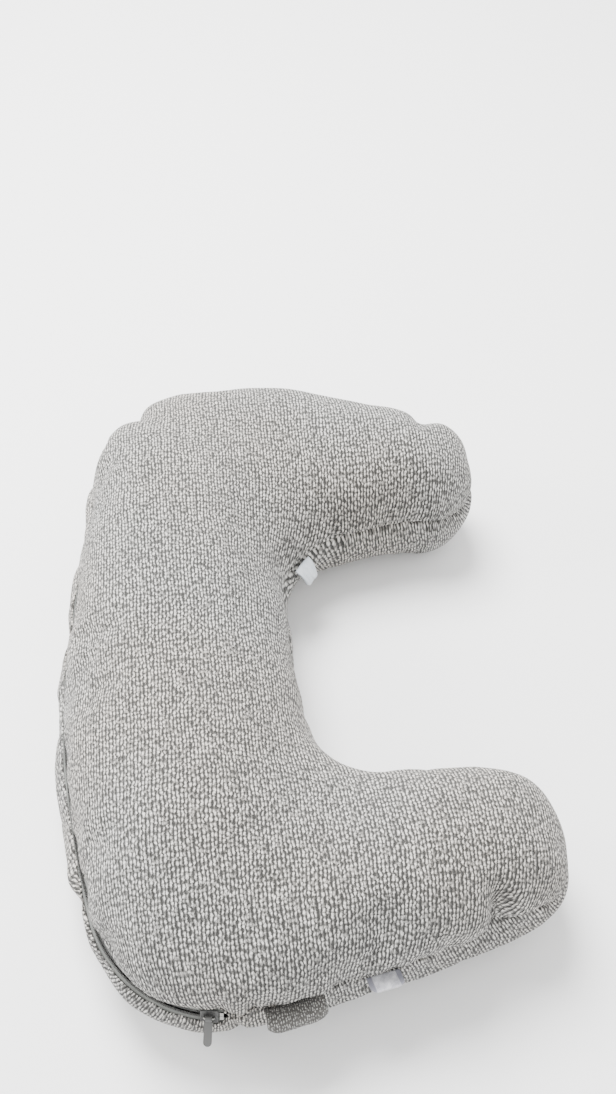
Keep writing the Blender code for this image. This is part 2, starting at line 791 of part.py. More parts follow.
def main():
    clear_scene()
    pillow = make_collection("nursing_pillow")
    cutters = make_collection("cutters")
    knit = make_material("grey_knit", (0.50, 0.49, 0.46), 0.95)
    lower_knit = make_material("grey_knit_lower", (0.44, 0.43, 0.41), 0.95)
    nonwoven = make_material("white_casing_cloth", (0.80, 0.80, 0.78), 0.9)
    fibre = make_material("polyester_fibre", (0.86, 0.86, 0.84), 1.0)
    tape = make_material("grey_zip_tape", (0.30, 0.31, 0.29), 0.7)
    coil = make_material("grey_zip_coil", (0.22, 0.22, 0.21), 0.5)
    painted = make_material("grey_painted_metal", (0.14, 0.135, 0.135), 0.45, 0.3)
    bright = make_material("bright_metal", (0.62, 0.62, 0.60), 0.3, 1.0)
    woven = make_material("grey_woven_label", (0.36, 0.36, 0.40), 0.8)
    satin = make_material("white_satin_label", (0.74, 0.78, 0.82), 0.45)

    plan = Plan()
    cover = Layer(plan, 0, 0, 0, open_at_zip=True)
    casing_gap = COVER_CLOTH + LAYER_GAP
    casing_floor = COVER_CLOTH + SEAM_GAP
    casing = Layer(plan, CASING_INSET, casing_gap, casing_floor)
    filling = Layer(
        plan,
        CASING_INSET + CASING_CLOTH + FILLING_INSET,
        casing_gap + CASING_CLOTH + LAYER_GAP,
        casing_floor + CASING_CLOTH + SEAM_GAP,
    )
    make_skin("cover_top_panel", cover, True, COVER_CLOTH, pillow, knit)
    make_skin("cover_bottom_panel", cover, False, COVER_CLOTH, pillow, lower_knit)
    make_skin("inner_casing_top", casing, True, CASING_CLOTH, pillow, nonwoven)
    make_skin("inner_casing_bottom", casing, False, CASING_CLOTH, pillow, nonwoven)
    make_filling(filling, pillow, fibre)

    tape_start = COIL_ACROSS + COIL_RADIUS + SEAM_GAP
    make_tape("zip_tape_upper", plan, tape_start, TAPE_SHOWN_UPPER, pillow, tape)
    make_tape("zip_tape_lower", plan, -TAPE_SHOWN_LOWER, -tape_start, pillow, tape)
    make_coil("zip_coil_upper", plan, COIL_ACROSS, pillow, coil)
    make_coil("zip_coil_lower", plan, -COIL_ACROSS, pillow, coil)

    near_centre = Vector((plan.corner_centre.x, -plan.corner_centre.y))
    zip_radius = BACK_CORNER_RADIUS - ZIP_SETBACK
    stop_inset = COIL_END_INSET + STOP_LENGTH / 2
    stop_angle = ZIP_NEAR_END - stop_inset / zip_radius
    stop_place = zip_matrix(near_centre, stop_angle)
    stop_reach = COIL_ACROSS + COIL_RADIUS + SEAM_GAP
    inner_reach = COIL_ACROSS - COIL_RADIUS - STOP_GAP - STOP_WALL / 2
    make_stop(
        "zip_top_stop_upper", inner_reach / 2, stop_reach, stop_place, pillow, cutters, bright
    )
    make_stop(
        "zip_top_stop_lower", -stop_reach, -inner_reach / 2, stop_place, pillow, cutters, bright
    )
    far_stop_angle = ZIP_FAR_END + stop_inset / zip_radius
    far_place = zip_matrix(plan.corner_centre, far_stop_angle)
    make_stop("zip_bottom_stop", -stop_reach, stop_reach, far_place, pillow, cutters, bright)

    slider_inset = stop_inset + STOP_LENGTH / 2 + SLIDER_TO_STOP + SLIDER_LENGTH / 2
    slider_angle = ZIP_NEAR_END - slider_inset / zip_radius
    slider_place = zip_matrix(near_centre, slider_angle)
    crown_place = slider_place @ Matrix.Translation((0, 0, crown_height()))
    lean = Matrix.Rotation(-(ZIP_TILT - PULL_HANG), 4, "X")
    slider_pivot = bpy.data.objects.new("slider_pivot", None)
    slider_pivot.location = (near_centre.x, near_centre.y, SEAM_HEIGHT)
    pillow.objects.link(slider_pivot)
    bpy.context.view_layer.update()
    body = make_slider_body(slider_place, pillow, cutters, painted)
    crown = make_slider_crown(slider_place, pillow, bright)
    pull = make_pull(crown_place @ lean, pillow, cutters, painted)
    for piece in (body, crown, pull):
        keep_world(piece, slider_pivot)

    near_side_centre = Vector((plan.side_centre.x, -plan.side_centre.y))
    for name, from_back, width, reach, cloth, fold, finish in (
        ("carry_loop", LOOP_FROM_BACK, LOOP_WIDTH, LOOP_REACH, LOOP_CLOTH, LOOP_FOLD, knit),
        ("side_label", LABEL_FROM_BACK, LABEL_WIDTH, LABEL_REACH, LABEL_CLOTH, LABEL_FOLD, woven),
    ):
        middle = side_arc_angle(plan, from_back)
        make_strip(
            name,
            near_side_centre,
            SIDE_ARC_RADIUS,
            middle,
            width,
            reach,
            cloth,
            fold,
            (pillow, finish),
        )
    make_strip(
        "care_label",
        plan.inner_centre,
        -INNER_CORNER_RADIUS,
        2 * math.pi - CARE_ANGLE,
        CARE_WIDTH,
        CARE_REACH,
        CARE_CLOTH,
        CARE_FOLD,
        (pillow, satin),
    )


main()
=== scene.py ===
"""Nursing pillow: a knitted cover over a stuffed casing, with its zip, carry loop and labels.

Everything is in metres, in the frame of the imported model: +Z up, +X from the back towards the waist
opening, +Y along the pillow, and the pillow rests on Z = 0.
"""

import math

import bmesh
import bpy
import numpy as np
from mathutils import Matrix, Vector, noise


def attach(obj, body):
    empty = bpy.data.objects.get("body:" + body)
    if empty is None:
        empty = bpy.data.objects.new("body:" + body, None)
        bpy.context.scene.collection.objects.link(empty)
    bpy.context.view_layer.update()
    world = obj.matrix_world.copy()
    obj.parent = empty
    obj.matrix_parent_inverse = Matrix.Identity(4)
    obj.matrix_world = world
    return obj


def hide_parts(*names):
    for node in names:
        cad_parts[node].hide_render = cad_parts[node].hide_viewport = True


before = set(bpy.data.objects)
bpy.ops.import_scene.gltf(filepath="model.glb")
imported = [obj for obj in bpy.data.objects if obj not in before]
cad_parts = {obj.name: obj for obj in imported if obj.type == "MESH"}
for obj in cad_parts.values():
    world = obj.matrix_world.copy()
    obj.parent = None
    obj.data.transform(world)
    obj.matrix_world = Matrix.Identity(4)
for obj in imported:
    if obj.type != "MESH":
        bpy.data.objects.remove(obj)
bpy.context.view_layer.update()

# The seam's outline in plan, symmetric about Y = 0, as in the design.
PILLOW_LENGTH = 0.606
PILLOW_DEPTH = 0.398
BACK_DEPTH = 0.207
BACK_TO_ORIGIN = 0.101
OPENING_WIDTH = 0.246
MOUTH_WIDTH = 0.268
TIP_SPAN = 0.484
BACK_ARC_RADIUS = 0.95
BACK_CORNER_RADIUS = 0.115
SIDE_ARC_RADIUS = 0.500
TIP_OUTER_RADIUS = 0.040
TIP_INNER_RADIUS = 0.050
INNER_CORNER_RADIUS = 0.075

# Heights.
ARM_THICKNESS = 0.147
BACK_THICKNESS = 0.162
SEAM_HEIGHT = 0.078
TOP_BULGE = 0.002
BOTTOM_BULGE = 0.0050
BACK_BULGE = 0.0065
CORNER_BULGE = -0.0025
REST_PRESS = 0.005
SECTION_POWER = 0.80
BULGE_ANGLE = math.radians(3)

# Cloth layers.
COVER_CLOTH = 0.0012
CASING_CLOTH = 0.0008
SEAM_GAP = 0.0004
CASING_INSET = 0.0145
CASING_BELOW = 0.0040
FILLING_INSET = CASING_INSET + 0.003
FILLING_BELOW = CASING_BELOW + 0.002

# Zip.
ZIP_FAR_END = math.radians(152)
ZIP_NEAR_END = math.radians(268)
ZIP_RAMP = 0.012
ZIP_SETBACK = 0.005
ZIP_TILT = math.radians(35)
LIP_OPEN_UPPER = 0.0068
LIP_OPEN_LOWER = -0.0060
LIP_SHUT_UPPER = 0.0052
LIP_SHUT_LOWER = -0.0030
LIP_PROUD = 0.0017
SLIDER_RUN = 0.165
RUN_EASE = 0.03
TAPE_REACH_UPPER = 0.0125
TAPE_REACH_LOWER = -0.0105
TAPE_CLOTH = 0.0005
TAPE_END_INSET = -0.002
COIL_ACROSS = 0.0017
COIL_RADIUS = 0.0008
COIL_WIRE = 0.00028
COIL_PITCH = 0.0014
COIL_END_INSET = 0.006

# Topstitching.
STITCH_FROM_SEAM = 0.0055
STITCH_LENGTH = 0.0034
STITCH_GAP = 0.0009
STITCH_RADIUS = 0.00042

# Mesh density: steps along the arm, round a corner, along half the back and round a tip, and rings.
# Every third column lands on the same rungs on both sides, so the simulated skin can use those.
ARM_STEPS, CORNER_STEPS, BACK_STEPS = 70, 60, 59
TIP_ARC_STEPS, TIP_LINE_STEPS = 20, 11
FAN_STEPS = 12
RINGS = 54
CASING_RINGS = 30
FILLING_RINGS = 24
RING_POWER = 1.7

# Cloth simulation of the cover.
COLUMN_SKIP = 3
RING_SKIP = 2
CLOTH_FRAMES = 20
CLOTH_SPARE = 0.025
CLOTH_PRESSURE = 4.0
MOST_MOVE = 0.007

# The knit: its wales' spacing, and how much of the cloth's height up a side shows in its flat
# coordinates, on the outer side and on the waist's side.
WALE_PITCH = 0.0029
LOOP_PITCH = 0.0017
CLOTH_FOLLOW = 0.8
CLOTH_FOLLOW_INSIDE = 0.6

# Strips sewn into the seam: the X or the angle of their middles, then their sizes. Reach is from
# seam to fold, cloth the thickness, fold the whole height and droop how far the fold hangs.
LOOP_X = 0.080
SIDE_LABEL_X = 0.150
CARE_LABEL_ANGLE = math.radians(226)
STRIPS = {
    "carry_loop_knit": dict(width=0.046, reach=0.0175, cloth=0.0022, fold=0.0110, droop=0.001),
    "blank_side_label": dict(width=0.027, reach=0.0140, cloth=0.0006, fold=0.0026, droop=-0.003),
    "blank_care_label": dict(width=0.020, reach=0.016, cloth=0.0005, fold=0.0024, droop=0.012),
}

# Camera and light.
CAMERA_LENS = 41.13
CAMERA_PLACE = (0.06037, -0.56851, 1.038)
CAMERA_AZIMUTH = math.radians(6)
CAMERA_PITCH = math.radians(54)
WORLD_STRENGTH = 1.8
OVERHEAD_POWER = 165
WINDOW_POWER = 30


UP = np.array([0, 0, 1.0])


# Plan outline


def unit(angle):
    return np.stack([np.cos(angle), np.sin(angle)], -1)


def angle_of(vector):
    return math.atan2(vector[1], vector[0])


def meeting_point(centre_a, reach_a, centre_b, reach_b):
    """The point at both distances, on the right-hand side of the way from a to b."""
    span = centre_b - centre_a
    length = np.linalg.norm(span)
    along = (length**2 + reach_a**2 - reach_b**2) / (2 * length)
    aside = math.sqrt(reach_a**2 - along**2)
    way = span / length
    return centre_a + way * along + np.array([way[1], -way[0]]) * aside


class Plan:
    """Centres and tangent angles of the outline's far half. The near half mirrors it."""

    def __init__(self):
        back_x = -BACK_TO_ORIGIN
        tip_x = back_x + PILLOW_DEPTH
        inner_x = back_x + BACK_DEPTH
        self.tip_x, self.inner_x = tip_x, inner_x
        self.back_centre = np.array([back_x + BACK_ARC_RADIUS, 0])
        corner_y = PILLOW_LENGTH / 2 - BACK_CORNER_RADIUS
        reach = BACK_ARC_RADIUS - BACK_CORNER_RADIUS
        corner_x = self.back_centre[0] - math.sqrt(reach**2 - corner_y**2)
        self.corner_centre = np.array([corner_x, corner_y])
        self.tip_outer = np.array([tip_x - TIP_OUTER_RADIUS, TIP_SPAN / 2 - TIP_OUTER_RADIUS])
        self.tip_inner = np.array([tip_x - TIP_INNER_RADIUS, MOUTH_WIDTH / 2 + TIP_INNER_RADIUS])
        self.inner_centre = np.array(
            [inner_x + INNER_CORNER_RADIUS, OPENING_WIDTH / 2 - INNER_CORNER_RADIUS]
        )
        self.side_centre = meeting_point(
            self.corner_centre,
            SIDE_ARC_RADIUS - BACK_CORNER_RADIUS,
            self.tip_outer,
            SIDE_ARC_RADIUS - TIP_OUTER_RADIUS,
        )
        self.back_angle = angle_of(self.corner_centre - self.back_centre)
        self.side_angle = angle_of(self.corner_centre - self.side_centre)
        self.tip_angle = angle_of(self.tip_outer - self.side_centre)
        span = self.tip_inner - self.inner_centre
        meet = math.acos(-(INNER_CORNER_RADIUS + TIP_INNER_RADIUS) / np.linalg.norm(span))
        self.arm_angle = angle_of(span) - meet


def arc(centre, radius, start, end, steps, concave=False):
    """Points with outward normals, from start up to, but not with, end."""
    radial = unit(start + (end - start) * np.arange(steps) / steps)
    return np.hstack([centre + radial * radius, -radial if concave else radial])


def line(start, end, normal, steps):
    """Points with one normal, from start up to, but not with, end."""
    share = (np.arange(steps) / steps)[:, None]
    return np.hstack([start + (end - start) * share, np.tile(normal, (steps, 1))])


def flip(points):
    """Mirrors points and normals about the mid-plane."""
    return points * np.array([1, -1, 1, -1])


class Outline:
    """The closed seam line, anticlockwise from the far tip round the back."""

    def __init__(self, plan):
        self.trace(plan)
        self.place_zip(plan)
        self.swell_out()

    def trace(self, plan):
        """The designed line, and the rung of the crown line that each of its points faces."""
        side, back, arm = plan.side_angle, plan.back_angle, plan.arm_angle
        arm_normal, forwards = unit(arm), np.array([1.0, 0.0])
        tip_end = plan.tip_inner + arm_normal * TIP_INNER_RADIUS
        root = plan.inner_centre - arm_normal * INNER_CORNER_RADIUS
        corner_end = np.array([plan.inner_x, plan.inner_centre[1]])
        middle = np.array([plan.inner_x, 0.0])
        face_start = np.array([plan.tip_x, plan.tip_inner[1]])
        face_end = np.array([plan.tip_x, plan.tip_outer[1]])
        turn = (arm + math.pi, math.pi, CORNER_STEPS)
        outer = (
            arc(plan.side_centre, SIDE_ARC_RADIUS, plan.tip_angle, side, ARM_STEPS),
            arc(plan.corner_centre, BACK_CORNER_RADIUS, side, back, CORNER_STEPS),
            arc(plan.back_centre, BACK_ARC_RADIUS, back, math.pi, BACK_STEPS),
        )
        inner = (
            line(tip_end, root, arm_normal, ARM_STEPS),
            arc(plan.inner_centre, INNER_CORNER_RADIUS, *turn, concave=True),
            line(corner_end, middle, forwards, BACK_STEPS),
        )
        tip = (
            arc(plan.tip_inner, TIP_INNER_RADIUS, arm, 0, TIP_ARC_STEPS),
            line(face_start, face_end, forwards, TIP_LINE_STEPS),
            arc(plan.tip_outer, TIP_OUTER_RADIUS, 0, plan.tip_angle, TIP_ARC_STEPS),
        )
        outer, inner, tip = (np.vstack(parts) for parts in (outer, inner, tip))
        back_middle = np.array([[-BACK_TO_ORIGIN, 0, -1, 0]])
        inner_middle = np.array([[plan.inner_x, 0, 1, 0]])
        outer_side = np.vstack([outer, back_middle, flip(outer)[::-1]])
        inner_side = np.vstack([inner, inner_middle, flip(inner)[::-1]])
        near_tip = flip(tip)[::-1]
        rows = np.vstack([outer_side, near_tip[:-1], inner_side[::-1], tip[1:]])
        self.rungs = len(outer_side)
        last = self.rungs - 1 - FAN_STEPS
        order = np.arange(self.rungs)
        near, far = np.full(len(near_tip) - 1, last), np.full(len(tip) - 1, FAN_STEPS)
        self.ladder = np.concatenate([order, near, order[::-1], far]).clip(FAN_STEPS, last)
        self.points, self.normals = rows[:, :2], rows[:, 2:]
        self.middle = (outer_side[:, :2] + inner_side[:, :2]) / 2
        steps = np.linalg.norm(np.roll(self.points, -1, 0) - self.points, axis=1)
        self.along = np.concatenate([[0], np.cumsum(steps)[:-1]])
        self.length = steps.sum()

    def place_zip(self, plan):
        """Where the zip starts and ends, and how much of each point belongs to it."""
        corner_start = self.along[ARM_STEPS]
        near_corner_end = self.along[self.rungs - 1 - ARM_STEPS]
        far_turn = ZIP_FAR_END - plan.side_angle
        near_turn = 2 * math.pi - ZIP_NEAR_END - plan.side_angle
        self.zip_start = corner_start + far_turn * BACK_CORNER_RADIUS
        self.zip_end = near_corner_end - near_turn * BACK_CORNER_RADIUS
        self.zip_share = ramp(self.along, self.zip_start - ZIP_RAMP, self.zip_start) * (
            1 - ramp(self.along, self.zip_end, self.zip_end + ZIP_RAMP)
        )

    def swell_out(self):
        """Moves the seam by its swells, except where the slider runs, and sets the shares on it."""
        order = np.arange(self.rungs)
        from_tip = np.minimum(order, order[::-1])
        self.back_share = ramp(from_tip, ARM_STEPS, ARM_STEPS + CORNER_STEPS)
        kept = ramp(self.along, self.zip_end - SLIDER_RUN - RUN_EASE, self.zip_end - SLIDER_RUN)
        kept *= 1 - ramp(self.along, self.zip_end + 0.004, self.zip_end + 0.030)
        self.points = self.points + self.normals * (swelling_at(self.points) * (1 - kept))[:, None]
        self.back_bulge = self.zip_share * (BACK_BULGE * (1 - kept) + CORNER_BULGE * kept)
        inside = (np.arange(len(self.points)) >= self.rungs).astype(float)
        for _ in range(3):
            inside = sum(np.roll(inside, shift) for shift in range(-12, 13)) / 25
        self.follow = CLOTH_FOLLOW + (CLOTH_FOLLOW_INSIDE - CLOTH_FOLLOW) * inside

    def at(self, place):
        """Point and normal at a length along the seam."""
        normal = interpolate(place, self.along, self.normals)
        normal /= np.linalg.norm(normal, axis=-1, keepdims=True)
        return interpolate(place, self.along, self.points), normal


def interpolate(places, at, values):
    """Rows of values, known at some places along a line, at other places."""
    return np.stack([np.interp(places, at, column) for column in values.T], -1)


def lengths_along(points):
    """How far along a line each of its points lies."""
    steps = np.linalg.norm(np.diff(points, axis=0), axis=1)
    return np.concatenate([[0], np.cumsum(steps)])


def ramp(value, low, high):
    """A smooth rise from 0 at low to 1 at high."""
    share = np.clip((value - low) / (high - low), 0, 1)
    return share * share * (3 - 2 * share)


# The shaped surface


# Changes of the outline: X from the back, Y, size each way, and how far outwards.
OUTLINE_SWELLS = (
    # The back: drawn in towards its far end, full towards its near end.
    (0.000, 0.170, 0.050, -0.0105),
    (0.000, 0.060, 0.045, -0.0060),
    (0.005, -0.190, 0.040, 0.0010),
    # The far corner's two lobes, with a notch between them.
    (0.065, 0.284, 0.012, -0.0120),
    (0.036, 0.266, 0.024, -0.0085),
    # The near side, on either side of the carry loop.
    (0.160, -0.305, 0.035, -0.0035),
    (0.232, -0.297, 0.038, -0.0095),
    (0.305, -0.285, 0.030, -0.0045),
    # The near arm is wider at its tip, and the cover rounds out its inner corner.
    (0.400, -0.215, 0.030, 0.0080),
    (0.222, -0.060, 0.028, 0.0075),
    # The far arm is slimmer.
    (0.262, 0.117, 0.045, -0.0085),
    (0.335, 0.125, 0.040, -0.0110),
    (0.300, 0.275, 0.050, -0.0050),
    (0.378, 0.250, 0.022, -0.0100),
)


def bell(value, width):
    return np.exp(-0.5 * (value / width) ** 2)


def swelling_at(points):
    """How far the seam lies outside its designed line at each point."""
    total = np.zeros(len(points))
    for x, y, size, height in OUTLINE_SWELLS:
        away = np.linalg.norm(points - (x - BACK_TO_ORIGIN, y), axis=1)
        total += height * bell(away, size)
    return total


class Dent:
    """A hollow, or a swelling when depth is negative, round a place on the surface."""

    def __init__(self, place, turn, sizes, depth):
        self.place = np.array(place)
        angle = math.radians(turn)
        cos, sin = math.cos(angle), math.sin(angle)
        self.axes = np.array([[cos, sin, 0], [-sin, cos, 0], [0, 0, 1]])
        self.sizes = np.array(sizes)
        self.depth = depth

    def at(self, points):
        local = (points - self.place) @ self.axes.T / self.sizes
        return self.depth * np.exp(-0.5 * (local**2).sum(-1))


DENTS = (
    # The crease at the far arm's outer corner, and the two at the near arm's.
    Dent((0.256, 0.236, 0.105), 60, (0.020, 0.006, 0.022), 0.007),
    Dent((0.242, -0.250, 0.104), -65, (0.026, 0.0075, 0.026), 0.017),
    Dent((0.285, -0.205, 0.110), -10, (0.020, 0.008, 0.020), 0.004),
    # Where the far corner folds in beside the zip's far end.
    Dent((-0.034, 0.280, 0.110), -45, (0.030, 0.009, 0.030), 0.006),
    # Pinches along the zip.
    Dent((-0.082, 0.140, 0.095), 0, (0.030, 0.010, 0.022), 0.005),
    Dent((-0.062, -0.245, 0.092), 45, (0.020, 0.009, 0.018), 0.006),
    # Pucker beside the slider.
    Dent((0.047, -0.300, 0.092), 90, (0.020, 0.0035, 0.020), 0.005),
    # The waist curve's corners.
    Dent((0.112, 0.085, 0.110), 45, (0.030, 0.010, 0.030), 0.003),
    Dent((0.112, -0.085, 0.110), -45, (0.030, 0.010, 0.030), 0.003),
)


def smooth_noise(points, size, seed):
    """Noise from -1 to 1 whose lumps are about size across."""
    shift = Vector((seed * 7.13, seed * 3.71, seed * 5.37))
    flat = points.reshape(-1, 3) / size
    values = [noise.noise(Vector(p) + shift) for p in flat]
    return np.array(values).reshape(points.shape[:-1])


def lip_across(outline, upper):
    """How far a zip lip lies from the zip's centre line. It is open where the slider runs, and
    elsewhere it closes at pinches and gapes between them."""
    to_end = outline.zip_end - outline.along
    wave = 0.5 + 0.5 * np.sin(to_end / 0.031 + 1.3 * np.sin(to_end / 0.053))
    shut, full = (
        (LIP_SHUT_UPPER, LIP_OPEN_UPPER) if upper else (LIP_SHUT_LOWER, LIP_OPEN_LOWER)
    )
    closing = ramp(to_end, SLIDER_RUN, SLIDER_RUN + RUN_EASE)
    across = full + (shut - full) * closing * (1 - 0.75 * wave)
    from_start = outline.along - outline.zip_start
    ends = ramp(to_end, 0.001, 0.009) * ramp(from_start, 0.001, 0.009)
    return across * (0.06 + 0.94 * ends)


def skin_faces(rings, count, ladder, upper, shift=0):
    """Faces between rings of points, then to the crown points after them. They look outwards."""
    faces = []
    first_crown = rings * count
    for ring in range(rings):
        low = ring * count
        for i in range(count):
            j = (i + 1) % count
            if ring < rings - 1:
                ends = (low + count + j, low + count + i)
            else:
                ends = (first_crown + int(ladder[j]), first_crown + int(ladder[i]))
            face = (low + i, low + j, *(ends[:1] if ends[0] == ends[1] else ends))
            face = face if upper else face[::-1]
            faces.append(tuple(v + shift for v in face))
    return faces


class Surface:
    """One side of one layer: rings of points from the seam to the crown line."""

    def __init__(self, outline, upper, inset=0.0, below=0.0, zipped=False, rings=RINGS):
        self.outline, self.upper, self.below = outline, upper, below
        sign = 1 if upper else -1
        normals = zip_axes(outline.normals)[0]
        flat = outline.points - outline.normals * inset
        gap = SEAM_GAP / 2 * sign if rings == RINGS else 0
        seam = np.hstack([flat, np.full((len(flat), 1), SEAM_HEIGHT + gap)])
        if zipped:
            seam = self.open_zip(seam, normals)
        thickness = ARM_THICKNESS + (BACK_THICKNESS - ARM_THICKNESS) * outline.back_share
        top = thickness - below if upper else np.full(len(thickness), -REST_PRESS)
        crown = np.hstack([outline.middle, top[:, None]])
        target = crown[outline.ladder]
        bulge = TOP_BULGE if upper else (BOTTOM_BULGE + outline.back_bulge)[:, None]
        rows, ways = [], []
        for ring in range(rings):
            angle = math.pi / 2 * (ring / rings) ** RING_POWER
            inwards = 1 - math.cos(angle) ** SECTION_POWER
            upwards = math.sin(angle) ** SECTION_POWER
            out = bulge * (1 - math.exp(-angle / BULGE_ANGLE))
            row = seam + normals * out
            row = row + (target - row) * inwards
            row[:, 2] = seam[:, 2] + (target[:, 2] - seam[:, 2]) * upwards
            rows.append(row)
            ways.append(normals * math.cos(angle) + UP * sign * math.sin(angle))
        self.grid = np.array(rows)
        self.ways = np.array(ways)
        kept = np.arange(FAN_STEPS, outline.rungs - FAN_STEPS)
        self.crown = crown[kept]
        self.crown_ways = np.tile(UP * sign, (len(kept), 1))
        self.measure(target)

    def open_zip(self, seam, normals):
        """Moves the seam line onto the lip that lies along the zip."""
        outline = self.outline
        centre = seam - normals * ZIP_SETBACK
        centre[:, 2] = SEAM_HEIGHT
        _, across, face = zip_axes(outline.normals)
        lip = centre + across * lip_across(outline, self.upper)[:, None] + face * LIP_PROUD
        return seam + (lip - seam) * outline.zip_share[:, None]

    def measure(self, target):
        """Lengths up each section from the seam, and the cloth's own flat coordinates."""
        ends = np.concatenate([self.grid, target[None]])
        steps = np.linalg.norm(np.diff(ends, axis=0), axis=2)
        up_section = np.concatenate([np.zeros((1, steps.shape[1])), np.cumsum(steps, axis=0)])
        self.from_seam = up_section[:-1]
        to_crown = up_section[-1] - up_section[:-1]
        in_plan = np.linalg.norm(self.grid[..., :2] - target[None, :, :2], axis=2)
        spare = (to_crown - in_plan) * self.outline.follow
        self.flat = self.grid[..., :2] + self.outline.normals * spare[..., None]
        self.crown_flat = self.crown[:, :2]

    def settle(self, draping):
        """Moves the surface as the simulated skin moved."""
        if draping:
            self.grid = self.grid + draping.at(len(self.grid))
            self.crown = self.crown + draping.crown
        return self

    def shape(self):
        """Presses the seams and stitch lines in, and adds dents, puckers and soft lumps."""
        outline = self.outline
        along = outline.along
        d = self.from_seam
        plain = 1 - outline.zip_share
        ends = bell(along - outline.zip_end - 0.012, 0.014)
        ends += bell(along - outline.zip_start + 0.010, 0.014)
        angles = 2 * math.pi * along / outline.length
        ring = np.array([[math.cos(a), math.sin(a), 0.37] for a in angles])
        ring = ring * outline.length / (2 * math.pi)
        wide = smooth_noise(ring, 0.022, 3 if self.upper else 4)
        fine = smooth_noise(ring, 0.008, 5 if self.upper else 6)
        near = np.exp(-d / 0.022) - np.exp(-d / 0.004)
        close = np.exp(-d / 0.008) - np.exp(-d / 0.002)
        pucker = (0.0030 + 0.0022 * ends) * wide * near + 0.0016 * fine * close
        if self.upper:
            groove = 0.0010 * np.exp(-(((d - STITCH_FROM_SEAM) / 0.0012) ** 2)) * plain
        else:
            groove = 0
        curl = (0.0006 + 0.0010 * plain) * np.exp(-((d / 0.0016) ** 2))
        held = 1 - outline.zip_share * (1 - ramp(d, 0.0, 0.012))
        push = pucker - groove - curl + self.field(self.grid) * held
        moved = self.grid + self.ways * push[..., None]
        lift = self.field(self.crown)
        crown = self.crown + self.crown_ways * lift[:, None]
        for points in (moved, crown):
            points[..., 2] = np.maximum(points[..., 2], self.below)
        self.grid, self.crown = moved, crown
        return self

    def field(self, points):
        """How far the soft lumps and the dents push each point outwards."""
        push = 0.0030 * smooth_noise(points, 0.085, 1) + 0.0012 * smooth_noise(points, 0.035, 2)
        for dent in DENTS:
            push = push - dent.at(points)
        return push

    def mesh_data(self, shift=0):
        """All points, flat coordinates and faces. Faces look out of the pillow."""
        rings, count = self.grid.shape[:2]
        points = np.vstack([self.grid.reshape(-1, 3), self.crown])
        flat = np.vstack([self.flat.reshape(-1, 2), self.crown_flat])
        ladder = self.outline.ladder - FAN_STEPS
        return points, flat, skin_faces(rings, count, ladder, self.upper, shift)

    def line_at(self, distance):
        """Points and outward ways along the outline, at a distance up the section from the seam."""
        spots = [
            [np.interp(distance, self.from_seam[:, i], values) for values in self.grid[:, i].T]
            for i in range(self.grid.shape[1])
        ]
        return np.array(spots), self.ways[2]


# Cloth simulation


class Draping:
    """How one side of the simulated skin moved: every column, in rows from seam to crown."""

    def __init__(self, rows, crown):
        columns = np.arange(rows.shape[1] * COLUMN_SKIP) / COLUMN_SKIP
        low = columns.astype(int)
        share = (columns - low)[None, :, None]
        fine = rows[:, low] * (1 - share) + rows[:, (low + 1) % rows.shape[1]] * share
        for _ in range(2):
            fine = (np.roll(fine, 1, 1) + 2 * fine + np.roll(fine, -1, 1)) / 4
        self.rows = fine
        places = np.arange((len(crown) - 1) * COLUMN_SKIP + 1) / COLUMN_SKIP
        self.crown = interpolate(places, np.arange(len(crown)), crown)

    def at(self, rings):
        place = np.arange(rings) / rings * (len(self.rows) - 1)
        low = place.astype(int)
        share = (place - low)[:, None, None]
        return self.rows[low] * (1 - share) + self.rows[low + 1] * share


def coarse(surface):
    """Every few rings and columns of a surface, with its crown: points and crown ladder."""
    grid = surface.grid[::RING_SKIP, ::COLUMN_SKIP]
    crown = surface.crown[::COLUMN_SKIP]
    ladder = (surface.outline.ladder[::COLUMN_SKIP] - FAN_STEPS) // COLUMN_SKIP
    return grid, crown, ladder


